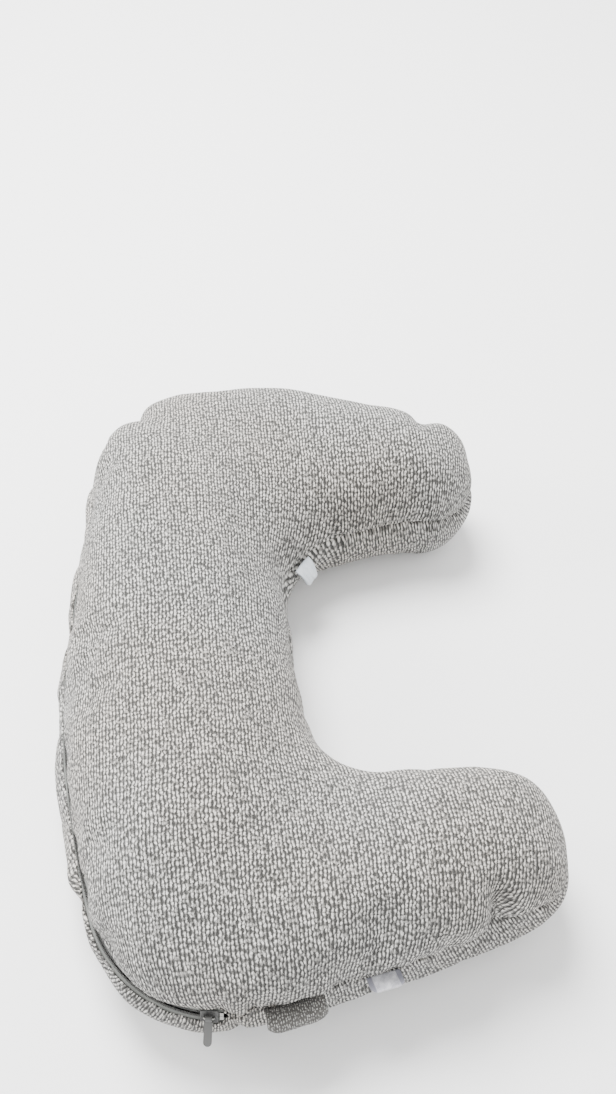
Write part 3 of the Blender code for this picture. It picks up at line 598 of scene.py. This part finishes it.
def simulate(top, bottom):
    """Inflates both panels as one skin, held along its seam and where it rests. The cloth is cut a
    little larger than the shape it fills, so it gathers. Returns how each side moved."""
    sides = [coarse(top), coarse(bottom)]
    points, faces, starts = [], [], []
    for (grid, crown, ladder), upper in zip(sides, (True, False)):
        starts.append(sum(len(p) for p in points))
        rings, count = grid.shape[:2]
        points.append(np.vstack([grid.reshape(-1, 3), crown]))
        faces += skin_faces(rings, count, ladder, upper, starts[-1])
    high, low = starts
    for i in range(count):
        j = (i + 1) % count
        faces.append((low + i, low + j, high + j, high + i))
    rest = np.vstack(points)
    mesh = bpy.data.meshes.new("simulated_skin")
    mesh.from_pydata([tuple(p) for p in rest], [], faces)
    skin = linked("simulated_skin", mesh)
    held = skin.vertex_groups.new(name="held")
    seam = [start + i for start in starts for i in range(count)]
    resting = np.flatnonzero(rest[:, 2] < 0.001)
    held.add(seam + [int(i) for i in resting], 1.0, "REPLACE")
    modifier = skin.modifiers.new("Cloth", "CLOTH")
    cloth = modifier.settings
    cloth.quality = 6
    cloth.mass = 0.15
    cloth.tension_stiffness = cloth.compression_stiffness = 15
    cloth.shear_stiffness = 5
    cloth.bending_stiffness = 0.3
    cloth.use_pressure = True
    cloth.uniform_pressure_force = CLOTH_PRESSURE
    cloth.shrink_min = -CLOTH_SPARE
    cloth.vertex_group_mass = "held"
    cloth.effector_weights.gravity = 0
    modifier.collision_settings.use_collision = False
    scene = bpy.context.scene
    for step in range(1, CLOTH_FRAMES + 1):
        scene.frame_set(step)
    evaluated = skin.evaluated_get(bpy.context.evaluated_depsgraph_get())
    moved = np.empty(len(rest) * 3)
    evaluated.data.vertices.foreach_get("co", moved)
    scene.frame_set(1)
    bpy.data.objects.remove(skin, do_unlink=True)
    move = moved.reshape(-1, 3) - rest
    size = np.linalg.norm(move, axis=1, keepdims=True)
    move *= MOST_MOVE * np.tanh(size / MOST_MOVE) / np.maximum(size, 1e-9)
    print("cloth simulation moved points by up to", float(size.max()), "before the cap")
    drapings = []
    for (grid, crown, ladder), start in zip(sides, starts):
        count = grid.shape[0] * grid.shape[1]
        crown_move = move[start + count : start + count + len(crown)]
        rows = move[start : start + count].reshape(grid.shape)
        rows = np.concatenate([rows, crown_move[ladder][None]])
        drapings.append(Draping(rows, crown_move))
    return drapings


# Objects


def linked(name, data):
    """A new object in the scene."""
    obj = bpy.data.objects.new(name, data)
    bpy.context.scene.collection.objects.link(obj)
    return obj


def mesh_object(name, points, faces, material, flat=None):
    mesh = bpy.data.meshes.new(name)
    mesh.from_pydata([tuple(p) for p in points], [], faces)
    if flat is not None:
        cloth = mesh.attributes.new("cloth", "FLOAT_VECTOR", "POINT")
        values = np.zeros((len(points), 3))
        values[:, :2] = flat
        cloth.data.foreach_set("vector", values.ravel())
    mesh.update()
    mesh.shade_smooth()
    obj = linked(name, mesh)
    obj.data.materials.append(material)
    return obj


def grid_faces(rows, count):
    """Faces between rows of count points each."""
    return [
        (r * count + i, r * count + i + 1, (r + 1) * count + i + 1, (r + 1) * count + i)
        for r in range(rows - 1)
        for i in range(count - 1)
    ]


def solidify(obj, thickness, offset=-1.0):
    modifier = obj.modifiers.new("Cloth thickness", "SOLIDIFY")
    modifier.thickness = thickness
    modifier.offset = offset


def make_panel(name, surface, cloth, material, *replaced):
    points, flat, faces = surface.mesh_data()
    panel = mesh_object(name, points, faces, material, flat)
    solidify(panel, cloth)
    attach(panel, "root")
    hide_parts(*replaced)
    return panel


def make_filling(outline, drapings, material):
    points, flat, faces = [], [], []
    for upper, draping in zip((True, False), drapings):
        side = Surface(outline, upper, FILLING_INSET, FILLING_BELOW, rings=FILLING_RINGS)
        side.settle(draping).shape()
        side_points, side_flat, side_faces = side.mesh_data(shift=sum(len(p) for p in points))
        points.append(side_points)
        flat.append(side_flat)
        faces += side_faces
    filling = mesh_object("polyester_filling", np.vstack(points), faces, material, np.vstack(flat))
    bm = bmesh.new()
    bm.from_mesh(filling.data)
    bmesh.ops.remove_doubles(bm, verts=bm.verts[:], dist=0.0005)
    bm.to_mesh(filling.data)
    bm.free()
    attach(filling, "root")
    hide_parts("fibre_filling")
    return filling


# Materials


class Graph:
    """A material's node tree, built one node at a time."""

    def __init__(self, name, roughness, metallic=0.0):
        self.material = bpy.data.materials.new(name)
        self.material.use_nodes = True
        self.tree = self.material.node_tree
        self.shader = self.tree.nodes["Principled BSDF"]
        self.shader.inputs["Roughness"].default_value = roughness
        self.shader.inputs["Metallic"].default_value = metallic

    def add(self, kind, settings=None, **inputs):
        node = self.tree.nodes.new(kind)
        for key, value in (settings or {}).items():
            setattr(node, key, value)
        for key, value in inputs.items():
            self.feed(node.inputs[key.replace("_", " ")], value)
        return node

    def feed(self, socket, value):
        if isinstance(value, bpy.types.NodeSocket):
            self.tree.links.new(value, socket)
        else:
            socket.default_value = value

    def apply(self, kind, settings, values):
        """The first output of a node whose inputs take the values in order."""
        node = self.add(kind, settings)
        for socket, value in zip(node.inputs, values):
            self.feed(socket, value)
        return node.outputs[0]

    def maths(self, operation, *values):
        return self.apply("ShaderNodeMath", {"operation": operation}, values)

    def vector(self, operation, *values):
        return self.apply("ShaderNodeVectorMath", {"operation": operation}, values)

    def wave(self, value, length):
        """The sine of a value, one turn for each length."""
        return self.maths("SINE", self.maths("MULTIPLY", value, 2 * math.pi / length))

    def noise(self, place, scale, detail=2.0, roughness=0.5, output="Fac"):
        numbers = dict(Scale=scale, Detail=detail, Roughness=roughness)
        return self.add("ShaderNodeTexNoise", Vector=place, **numbers).outputs[output]

    def drift(self, place, scale, reach, detail=2.0):
        """Uneven shifts in plan, about reach across."""
        noise_colour = self.noise(place, scale, detail, output="Color")
        centred = self.vector("SUBTRACT", noise_colour, (0.5, 0.5, 0.5))
        return self.vector("MULTIPLY", centred, (reach, reach, 0.0))

    def cells(self, place, scale, randomness=1.0, dimensions="3D"):
        settings = {"voronoi_dimensions": dimensions}
        numbers = dict(Scale=scale, Randomness=randomness)
        node = self.add("ShaderNodeTexVoronoi", settings, Vector=place, **numbers)
        return node.outputs["Distance"]

    def mix(self, share, first, second, blend="MIX"):
        node = self.add("ShaderNodeMix", {"data_type": "RGBA", "blend_type": blend})
        self.feed(node.inputs[0], share)
        self.feed(node.inputs[6], first)
        self.feed(node.inputs[7], second)
        return node.outputs[2]

    def map_range(self, value, low, high, to_low=0.0, to_high=1.0):
        values = (value, low, high, to_low, to_high)
        return self.apply("ShaderNodeMapRange", {"interpolation_type": "SMOOTHSTEP"}, values)

    def cloth(self):
        """The cloth's own flat coordinates, in metres."""
        return self.add("ShaderNodeAttribute", {"attribute_name": "cloth"}).outputs["Vector"]

    def object_place(self):
        return self.add("ShaderNodeTexCoord").outputs["Object"]

    def across_and_along(self, place):
        parts = self.add("ShaderNodeSeparateXYZ", Vector=place)
        return parts.outputs["X"], parts.outputs["Y"]

    def colour(self, value):
        self.feed(self.shader.inputs["Base Color"], value)

    def paint(self, share, first, second):
        self.colour(self.mix(share, rgb(*first), rgb(*second)))

    def bump(self, height, distance, strength=1.0):
        node = self.add("ShaderNodeBump", Strength=strength, Distance=distance, Height=height)
        self.tree.links.new(node.outputs["Normal"], self.shader.inputs["Normal"])

    def set(self, **values):
        for key, value in values.items():
            self.shader.inputs[key.replace("_", " ")].default_value = value


def rgb(r, g, b):
    return (r, g, b, 1.0)


def knit_material(name, groove_shade, light, tint, pitch=WALE_PITCH, rib_share=0.50):
    """A crinkled rib knit: wales run along Y, each a chain of short, uneven, slubby stitches."""
    g = Graph(name, 0.95)
    cloth = g.cloth()
    place = g.vector("ADD", cloth, g.drift(cloth, 330.0, 0.85 * pitch, 1.5))
    place = g.vector("ADD", place, g.drift(cloth, 22.0, 0.0050))
    across, _ = g.across_and_along(place)
    turn = g.maths("MULTIPLY", across, math.pi / pitch)
    rib = g.maths("POWER", g.maths("ABSOLUTE", g.maths("SINE", turn)), 0.7)
    stitches = g.vector("MULTIPLY", place, (1 / pitch, 0.78 / pitch, 0.0))
    slub = g.map_range(g.cells(stitches, 1.0, 0.75, dimensions="2D"), 0.60, 0.10)
    grain = g.noise(cloth, 850.0, 2.0, 0.6)
    height = g.maths("MULTIPLY", rib, rib_share)
    height = g.maths("MULTIPLY_ADD", slub, 0.36, height)
    height = g.maths("MULTIPLY_ADD", grain, 0.50, height)
    patches = g.noise(cloth, 70.0, 2.0, 0.6)
    level = g.maths("MULTIPLY_ADD", g.maths("SUBTRACT", patches, 0.5), 0.20, height)
    # The colour follows the knit's height: near black low in the grooves as painted shade, and the
    # yarn's light colour up on the crowns.
    share = g.map_range(level, 0.58, 1.28)
    base = g.mix(share, rgb(*groove_shade), rgb(*light))
    region = g.map_range(g.noise(cloth, 5.5, 1.0), 0.35, 0.65)
    tinted = g.mix(region, base, rgb(*tint), "MULTIPLY")
    lint = g.map_range(g.cells(cloth, 42.0), 0.020, 0.034, 1.0, 0.0)
    g.colour(g.mix(g.maths("MULTIPLY", lint, 0.75), tinted, rgb(0.05, 0.04, 0.035)))
    g.bump(height, 0.0024, 1.0)
    g.set(Sheen_Weight=0.2, Sheen_Roughness=0.6, Specular_IOR_Level=0.2)
    return g.material


def tape_material():
    """Zip tape: a fine herringbone weave, with some wear."""
    g = Graph("zip_tape_weave", 0.65)
    cloth = g.cloth()
    across, along = g.across_and_along(cloth)
    slant = g.maths("ADD", across, g.maths("ABSOLUTE", along))
    twill = g.wave(slant, 0.0009)
    rows = g.wave(along, 0.0011)
    weave = g.maths("MULTIPLY_ADD", rows, 0.35, twill)
    wear_and_edge_highlight = g.noise(cloth, 120.0, 3.0, 0.6)
    level = g.maths("MULTIPLY_ADD", wear_and_edge_highlight, 1.6, weave)
    share = g.map_range(level, -0.8, 2.2)
    g.paint(share, (0.085, 0.088, 0.081), (0.20, 0.206, 0.193))
    g.bump(level, 0.00012, 0.7)
    g.set(Sheen_Weight=0.2, Specular_IOR_Level=0.35)
    return g.material


def thread_material(name, colour, shade):
    """Spun sewing thread: two plies twisted round each other."""
    g = Graph(name, 0.7)
    place = g.object_place()
    ply = g.noise(place, 1800.0, 1.0)
    fluff = g.noise(place, 5200.0, 2.0)
    share = g.map_range(g.maths("MULTIPLY_ADD", fluff, 0.5, ply), 0.45, 1.05)
    g.paint(share, shade, colour)
    g.bump(ply, 0.0001, 0.6)
    g.set(Sheen_Weight=0.3)
    return g.material


def label_material(name, colour, shade, weave, roughness, sheen, panel=None):
    """A woven ribbon: fine rows of yarn with a soft lustre, and a paler panel that wide."""
    g = Graph(name, roughness)
    cloth = g.cloth()
    across, along = g.across_and_along(cloth)
    yarn = g.maths("MULTIPLY", g.wave(across, weave), g.wave(along, weave * 1.6))
    soft = g.noise(cloth, 150.0, 3.0, 0.6)
    level = g.maths("MULTIPLY_ADD", soft, 1.4, g.maths("MULTIPLY", yarn, 0.4))
    share = g.map_range(level, 0.1, 1.3)
    if panel:
        aside = g.maths("ABSOLUTE", across)
        rim = g.map_range(aside, panel / 2 - 0.0003, panel / 2 + 0.0003, 1.0, 0.15)
        share = g.maths("MULTIPLY", share, rim)
    g.paint(share, shade, colour)
    g.bump(level, 0.00012, 0.6)
    g.set(Sheen_Weight=sheen, Specular_IOR_Level=0.5)
    return g.material


def painted_metal_material(name, colour, wear_and_edge_highlight):
    """Enamelled zinc: a slightly uneven coat, painted lighter along its sharp edges as a painted edge
    highlight.
    """
    g = Graph(name, 0.45)
    place = g.object_place()
    mottle = g.noise(place, 700.0, 3.0, 0.6)
    edges = g.add("ShaderNodeNewGeometry").outputs["Pointiness"]
    # Lighter on sharp convex edges: a painted edge highlight.
    edge_highlight = g.map_range(g.maths("MULTIPLY_ADD", mottle, 0.06, edges), 0.555, 0.60)
    low = tuple(0.8 * c for c in colour)
    g.colour(g.mix(edge_highlight, g.mix(mottle, rgb(*low), rgb(*colour)), rgb(*wear_and_edge_highlight)))
    g.feed(g.shader.inputs["Roughness"], g.map_range(mottle, 0.3, 0.7, 0.32, 0.48))
    g.bump(mottle, 0.00006, 0.5)
    g.set(Specular_IOR_Level=0.25)
    return g.material


def bright_metal_material():
    """Nickel-plated wire with fine drawing marks and dull patches."""
    g = Graph("nickel_plate", 0.28, 1.0)
    place = g.object_place()
    marks = g.noise(g.vector("MULTIPLY", place, (1.0, 6.0, 6.0)), 900.0, 3.0, 0.6)
    dull = g.noise(place, 300.0, 2.0)
    g.paint(dull, (0.24, 0.24, 0.23), (0.38, 0.375, 0.36))
    g.feed(g.shader.inputs["Roughness"], g.map_range(marks, 0.3, 0.7, 0.22, 0.42))
    g.bump(marks, 0.00003, 0.4)
    return g.material


def fibre_material():
    """Bonded polyester fibre: tangled white strands with soft hollows."""
    g = Graph("polyester_fibre_fill", 1.0)
    place = g.object_place()
    clumps = g.noise(place, 45.0, 4.0, 0.65)
    strands = g.noise(g.vector("MULTIPLY", place, (1.0, 3.0, 1.0)), 420.0, 3.0, 0.7)
    level = g.maths("MULTIPLY_ADD", strands, 0.5, clumps)
    # Greyer where the fibre lies low: painted shade in its hollows.
    g.paint(g.map_range(level, 0.45, 1.1), (0.62, 0.62, 0.60), (0.88, 0.88, 0.86))
    g.bump(level, 0.003, 0.8)
    g.set(Sheen_Weight=0.3)
    return g.material


def casing_material():
    """Spunbonded casing cloth, dimpled by its bonding points."""
    g = Graph("spunbond_casing", 0.85)
    cloth = g.cloth()
    points = g.cells(cloth, 480.0, 0.1)
    fibres = g.noise(cloth, 700.0, 3.0, 0.7)
    level = g.maths("MULTIPLY_ADD", fibres, 0.4, points)
    g.paint(g.map_range(level, 0.2, 0.9), (0.66, 0.66, 0.64), (0.86, 0.86, 0.84))
    g.bump(level, 0.0003, 0.7)
    return g.material


def floor_material():
    g = Graph("studio_floor", 0.9)
    place = g.object_place()
    paper = g.noise(place, 3.0, 3.0)
    g.paint(paper, (0.94, 0.94, 0.937), (0.96, 0.96, 0.957))
    return g.material


# Zip pieces


def zip_axes(normals):
    """For each point: the way across the zip, towards its upper tape, and out of its face."""
    out = np.hstack([normals, np.zeros((len(normals), 1))])
    across = UP * math.cos(ZIP_TILT) - out * math.sin(ZIP_TILT)
    face = out * math.cos(ZIP_TILT) + UP * math.sin(ZIP_TILT)
    return out, across, face


def zip_run(outline, end_inset, step):
    """Evenly spaced centre points along the zip, and its axes there."""
    start, end = outline.zip_start + end_inset, outline.zip_end - end_inset
    along = np.linspace(start, end, int((end - start) / step) + 1)
    points, normals = outline.at(along)
    out, across, face = zip_axes(normals)
    centre = np.hstack([points, np.full((len(points), 1), SEAM_HEIGHT)]) - out * ZIP_SETBACK
    return along, centre, across, face


def make_tape(name, outline, start, reach, material, replaced):
    """A tape from beside the coil to under the panel's lip, dipping where it is stitched."""
    along, centre, across, face = zip_run(outline, TAPE_END_INSET, 0.003)
    columns = np.linspace(start, reach, 9)
    rows, flat = [], []
    from_end = np.minimum(along - along[0], along[-1] - along)
    for column in columns:
        share = (column - start) / (reach - start)
        dip = -0.0035 * ramp(share, 0.40, 1.0)
        # The tapes' ends are sewn together.
        at_end = 1 - ramp(from_end, 0.001, 0.008)
        apart = column - (0.95 * start * (1 - share) + 0.55 * (reach - start) * share) * at_end
        rows.append(centre + across * apart[:, None] + face * dip)
        flat.append(np.stack([along, apart], -1))
    points, flat = np.vstack(rows), np.vstack(flat)
    faces = grid_faces(len(columns), len(along))
    if reach < 0:
        faces = [corners[::-1] for corners in faces]
    tape = mesh_object(name, points, faces, material, flat)
    solidify(tape, TAPE_CLOTH, 0.0)
    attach(tape, "root")
    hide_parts(replaced)
    return tape


def sweep(points, radius, sides):
    """A tube with closed ends round a line of points: its vertices and faces."""
    tangents = np.gradient(points, axis=0)
    tangents /= np.linalg.norm(tangents, axis=1, keepdims=True)
    helper = np.tile(np.array([0.31, 0.47, 0.83]), (len(points), 1))
    first = np.cross(tangents, helper)
    first /= np.linalg.norm(first, axis=1, keepdims=True)
    second = np.cross(tangents, first)
    radius = np.broadcast_to(np.asarray(radius), (len(points),))[:, None]
    rings = []
    for k in range(sides):
        turn = 2 * math.pi * k / sides
        rings.append(points + (first * math.cos(turn) + second * math.sin(turn)) * radius)
    vertices = np.stack(rings, 1).reshape(-1, 3)
    faces = []
    for i in range(len(points) - 1):
        for k in range(sides):
            m = (k + 1) % sides
            faces.append((i * sides + k, i * sides + m, (i + 1) * sides + m, (i + 1) * sides + k))
    faces.append(tuple(range(sides))[::-1])
    faces.append(tuple((len(points) - 1) * sides + k for k in range(sides)))
    return vertices, faces


def make_coil(name, outline, side, material, replaced):
    """A nylon coil: a flattened helix of stiff wire, sewn along the tape's edge."""
    along, centre, across, face = zip_run(outline, COIL_END_INSET, COIL_PITCH / 8)
    turn = 2 * math.pi * (along - along[0]) / COIL_PITCH * side
    reach = COIL_RADIUS - COIL_WIRE
    points = centre + across * (side * COIL_ACROSS + np.cos(turn) * reach)[:, None]
    points = points + face * (np.sin(turn) * reach)[:, None]
    vertices, faces = sweep(points, COIL_WIRE, 5)
    coil = mesh_object(name, vertices, faces, material)
    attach(coil, "root")
    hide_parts(replaced)
    return coil


def stitch_row(name, spots, ways, material):
    """Separate stitches along a line of surface points, each one a short arched thread."""
    along = lengths_along(spots)
    pitch = STITCH_LENGTH + STITCH_GAP
    count = int(along[-1] / pitch)
    vertices, faces = [], []
    shares = np.array([0.0, 0.12, 0.35, 0.65, 0.88, 1.0])
    lifts = np.array([-0.6, 0.1, 0.7, 0.7, 0.1, -0.6])
    widths = np.array([0.6, 0.95, 1.0, 1.0, 0.95, 0.6])
    for i in range(count):
        places = (i + 0.1) * pitch + shares * STITCH_LENGTH
        way = interpolate(places, along, ways)
        thread = interpolate(places, along, spots) + way * (lifts * STITCH_RADIUS)[:, None]
        ring_points, ring_faces = sweep(thread, widths * STITCH_RADIUS, 6)
        shift = sum(len(v) for v in vertices)
        vertices.append(ring_points)
        faces += [tuple(v + shift for v in f) for f in ring_faces]
    row = mesh_object(name, np.vstack(vertices), faces, material)
    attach(row, "root")
    return row


# Strips sewn into the seam


def make_strip(
    name, centre, radius, middle, material, replaced, *, width, reach, cloth, fold, droop
):
    """A strip that leaves the seam, folds back at its reach and returns. radius < 0 is concave."""
    turns, run, across = 14, 12, 36
    half = fold / 2
    root = cloth / 2 + SEAM_GAP / 2
    section = []
    for i in range(run):
        share = i / run
        lift = root + (half - root) * math.sin(math.pi / 2 * min(share * 1.6, 1))
        section.append((0.0008 + (reach - half) * share, lift))
    for i in range(turns + 1):
        angle = math.pi / 2 - math.pi * i / turns
        section.append((reach - half + half * math.cos(angle), half * math.sin(angle)))
    section += [(out, -lift) for out, lift in section[:run][::-1]]
    section = np.array(section)
    developed = lengths_along(section)
    points, flat = [], []
    for i in range(across + 1):
        share = 2 * i / across - 1
        rounding = 1 - 0.22 * abs(share) ** 6
        tuck = 1 - 0.55 * abs(share) ** 5
        wobble = 0.0006 * math.sin(5.1 * share + 1.3) + 0.0004 * math.sin(11.3 * share)
        for (out, lift), length in zip(section, developed):
            far = out / reach
            spread = width / 2 * share * (1 - 0.03 * far**2)
            angle = middle + spread / radius
            radial = np.array([math.cos(angle), math.sin(angle)])
            normal = radial if radius > 0 else -radial
            reach_here = out * (1 - (1 - rounding) * far)
            seam = centre + radial * abs(radius)
            spot = seam + normal * (reach_here + swelling_at(seam[None])[0])
            height = SEAM_HEIGHT + lift * (1 - (1 - tuck) * far) - droop * far**2 + wobble * far
            points.append((spot[0], spot[1], height))
            flat.append((spread, length))
    row = len(section)
    strip = mesh_object(name, points, grid_faces(across + 1, row), material, np.array(flat))
    solidify(strip, cloth, 0.0)
    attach(strip, "root")
    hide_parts(replaced)
    return strip


# Camera, light and floor


def make_camera():
    camera = bpy.data.cameras.new("camera")
    camera.sensor_width = 36
    camera.lens = CAMERA_LENS
    obj = linked("camera", camera)
    level = math.cos(CAMERA_PITCH)
    aside, ahead = math.sin(CAMERA_AZIMUTH) * level, math.cos(CAMERA_AZIMUTH) * level
    forward = Vector((aside, ahead, -math.sin(CAMERA_PITCH)))
    obj.location = CAMERA_PLACE
    obj.rotation_euler = forward.to_track_quat("-Z", "Y").to_euler()
    bpy.context.scene.camera = obj


def area_light(name, place, aim, size, power, colour):
    light = bpy.data.lights.new(name, "AREA")
    light.shape = "DISK"
    light.size = size
    light.energy = power
    light.color = colour
    obj = linked(name, light)
    obj.location = place
    obj.rotation_euler = (Vector(aim) - Vector(place)).to_track_quat("-Z", "Y").to_euler()


def make_studio():
    world = bpy.data.worlds.new("studio")
    world.use_nodes = True
    background = world.node_tree.nodes["Background"]
    background.inputs["Color"].default_value = rgb(1.0, 1.0, 1.0)
    background.inputs["Strength"].default_value = WORLD_STRENGTH
    bpy.context.scene.world = world
    area_light("overhead", (-0.3, 0.9, 2.2), (0.1, 0.0, 0.0), 1.2, OVERHEAD_POWER, (1, 1, 1))
    window_colour = (1.0, 0.99, 0.97)
    area_light("left_window", (-1.8, 0.5, 1.3), (0, 0, 0.05), 0.9, WINDOW_POWER, window_colour)
    mesh = bpy.data.meshes.new("studio_floor")
    mesh.from_pydata([(-6, -6, 0), (6, -6, 0), (6, 6, 0), (-6, 6, 0)], [], [(0, 1, 2, 3)])
    floor = linked("studio_floor", mesh)
    floor.location.z = -0.0005
    floor.data.materials.append(floor_material())


# Everything


def finish_cad_node(name, material, bevel_width):
    """Gives a kept node its material and rounds its edges."""
    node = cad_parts[name]
    node.data.materials.clear()
    node.data.materials.append(material)
    modifier = node.modifiers.new("Rounded edges", "BEVEL")
    modifier.width = bevel_width
    modifier.segments = 2
    modifier.limit_method = "ANGLE"
    modifier.angle_limit = math.radians(35)
    node.data.shade_smooth()


def main():
    make_camera()
    make_studio()
    plan = Plan()
    outline = Outline(plan)

    # The knits' first colours are painted shade for their grooves.
    knit = knit_material(
        "crinkle_knit", (0.024, 0.0235, 0.021), (0.82, 0.805, 0.765), (0.995, 0.95, 0.91)
    )
    casing = casing_material()
    tape = tape_material()
    nylon = thread_material("nylon_coil", (0.15, 0.15, 0.143), (0.08, 0.08, 0.076))
    thread = thread_material("sewing_thread", (0.40, 0.39, 0.37), (0.20, 0.195, 0.185))
    # The enamel's second colour is its painted edge highlight.
    painted = painted_metal_material("grey_enamel", (0.024, 0.0235, 0.0235), (0.10, 0.10, 0.098))
    bright = bright_metal_material()

    top = Surface(outline, True, zipped=True)
    bottom = Surface(outline, False, zipped=True)
    drapings = simulate(top, bottom)
    for surface, draping in zip((top, bottom), drapings):
        surface.settle(draping).shape()
    cover_top = make_panel("cover_top_knit", top, COVER_CLOTH, knit, "cover_top_panel")
    cover_bottom = make_panel("cover_bottom_knit", bottom, COVER_CLOTH, knit, "cover_bottom_panel")
    for name, upper, draping, replaced in (
        ("casing_top_cloth", True, drapings[0], "inner_casing_top"),
        ("casing_bottom_cloth", False, drapings[1], "inner_casing_bottom"),
    ):
        surface = Surface(outline, upper, CASING_INSET, CASING_BELOW, rings=CASING_RINGS)
        surface.settle(draping).shape()
        panel = make_panel(name, surface, CASING_CLOTH, casing, replaced)
    make_filling(outline, drapings, fibre_material())

    tape_start = COIL_ACROSS + COIL_RADIUS + 0.0002
    make_tape("zip_tape_far_side", outline, tape_start, TAPE_REACH_UPPER, tape, "zip_tape_upper")
    make_tape("zip_tape_low_side", outline, -tape_start, TAPE_REACH_LOWER, tape, "zip_tape_lower")
    make_coil("zip_teeth_upper", outline, 1, nylon, "zip_coil_upper")
    make_coil("zip_teeth_lower", outline, -1, nylon, "zip_coil_lower")

    spots, ways = top.line_at(STITCH_FROM_SEAM)
    plain = np.flatnonzero(outline.zip_share <= 0)
    after = plain[plain > outline.rungs // 2]
    before = plain[plain < outline.rungs // 2]
    order = np.concatenate([after, before])
    stitch_row("seam_topstitch", spots[order], ways[order], thread)

    ribbon = label_material(
        "grey_woven_ribbon", (0.80, 0.80, 0.82), (0.17, 0.17, 0.21), 0.0006, 0.6, 0.3, 0.019
    )
    boucle = knit_material(
        "loop_knit", (0.07, 0.068, 0.062), (0.94, 0.93, 0.90), (0.97, 0.94, 0.91), LOOP_PITCH, 0.30
    )
    near_side = plan.side_centre * np.array([1, -1])
    for name, x, material, replaced in (
        ("carry_loop_knit", LOOP_X, boucle, "carry_loop"),
        ("blank_side_label", SIDE_LABEL_X, ribbon, "side_label"),
    ):
        middle = -math.acos((x - near_side[0]) / SIDE_ARC_RADIUS)
        place = (near_side, SIDE_ARC_RADIUS, middle)
        strip = make_strip(name, *place, material, replaced, **STRIPS[name])
    satin = label_material(
        "white_satin", (0.60, 0.63, 0.66), (0.38, 0.42, 0.46), 0.0004, 0.35, 0.5
    )
    name = "blank_care_label"
    place = (plan.inner_centre, -INNER_CORNER_RADIUS, 2 * math.pi - CARE_LABEL_ANGLE)
    care = make_strip(name, *place, satin, "care_label", **STRIPS[name])

    for name in ("zip_slider_body", "zip_pull_tab"):
        finish_cad_node(name, painted, 0.0002)
    for name in ("zip_slider_crown", "zip_top_stop_upper", "zip_top_stop_lower", "zip_bottom_stop"):
        finish_cad_node(name, bright, 0.0001)


main()
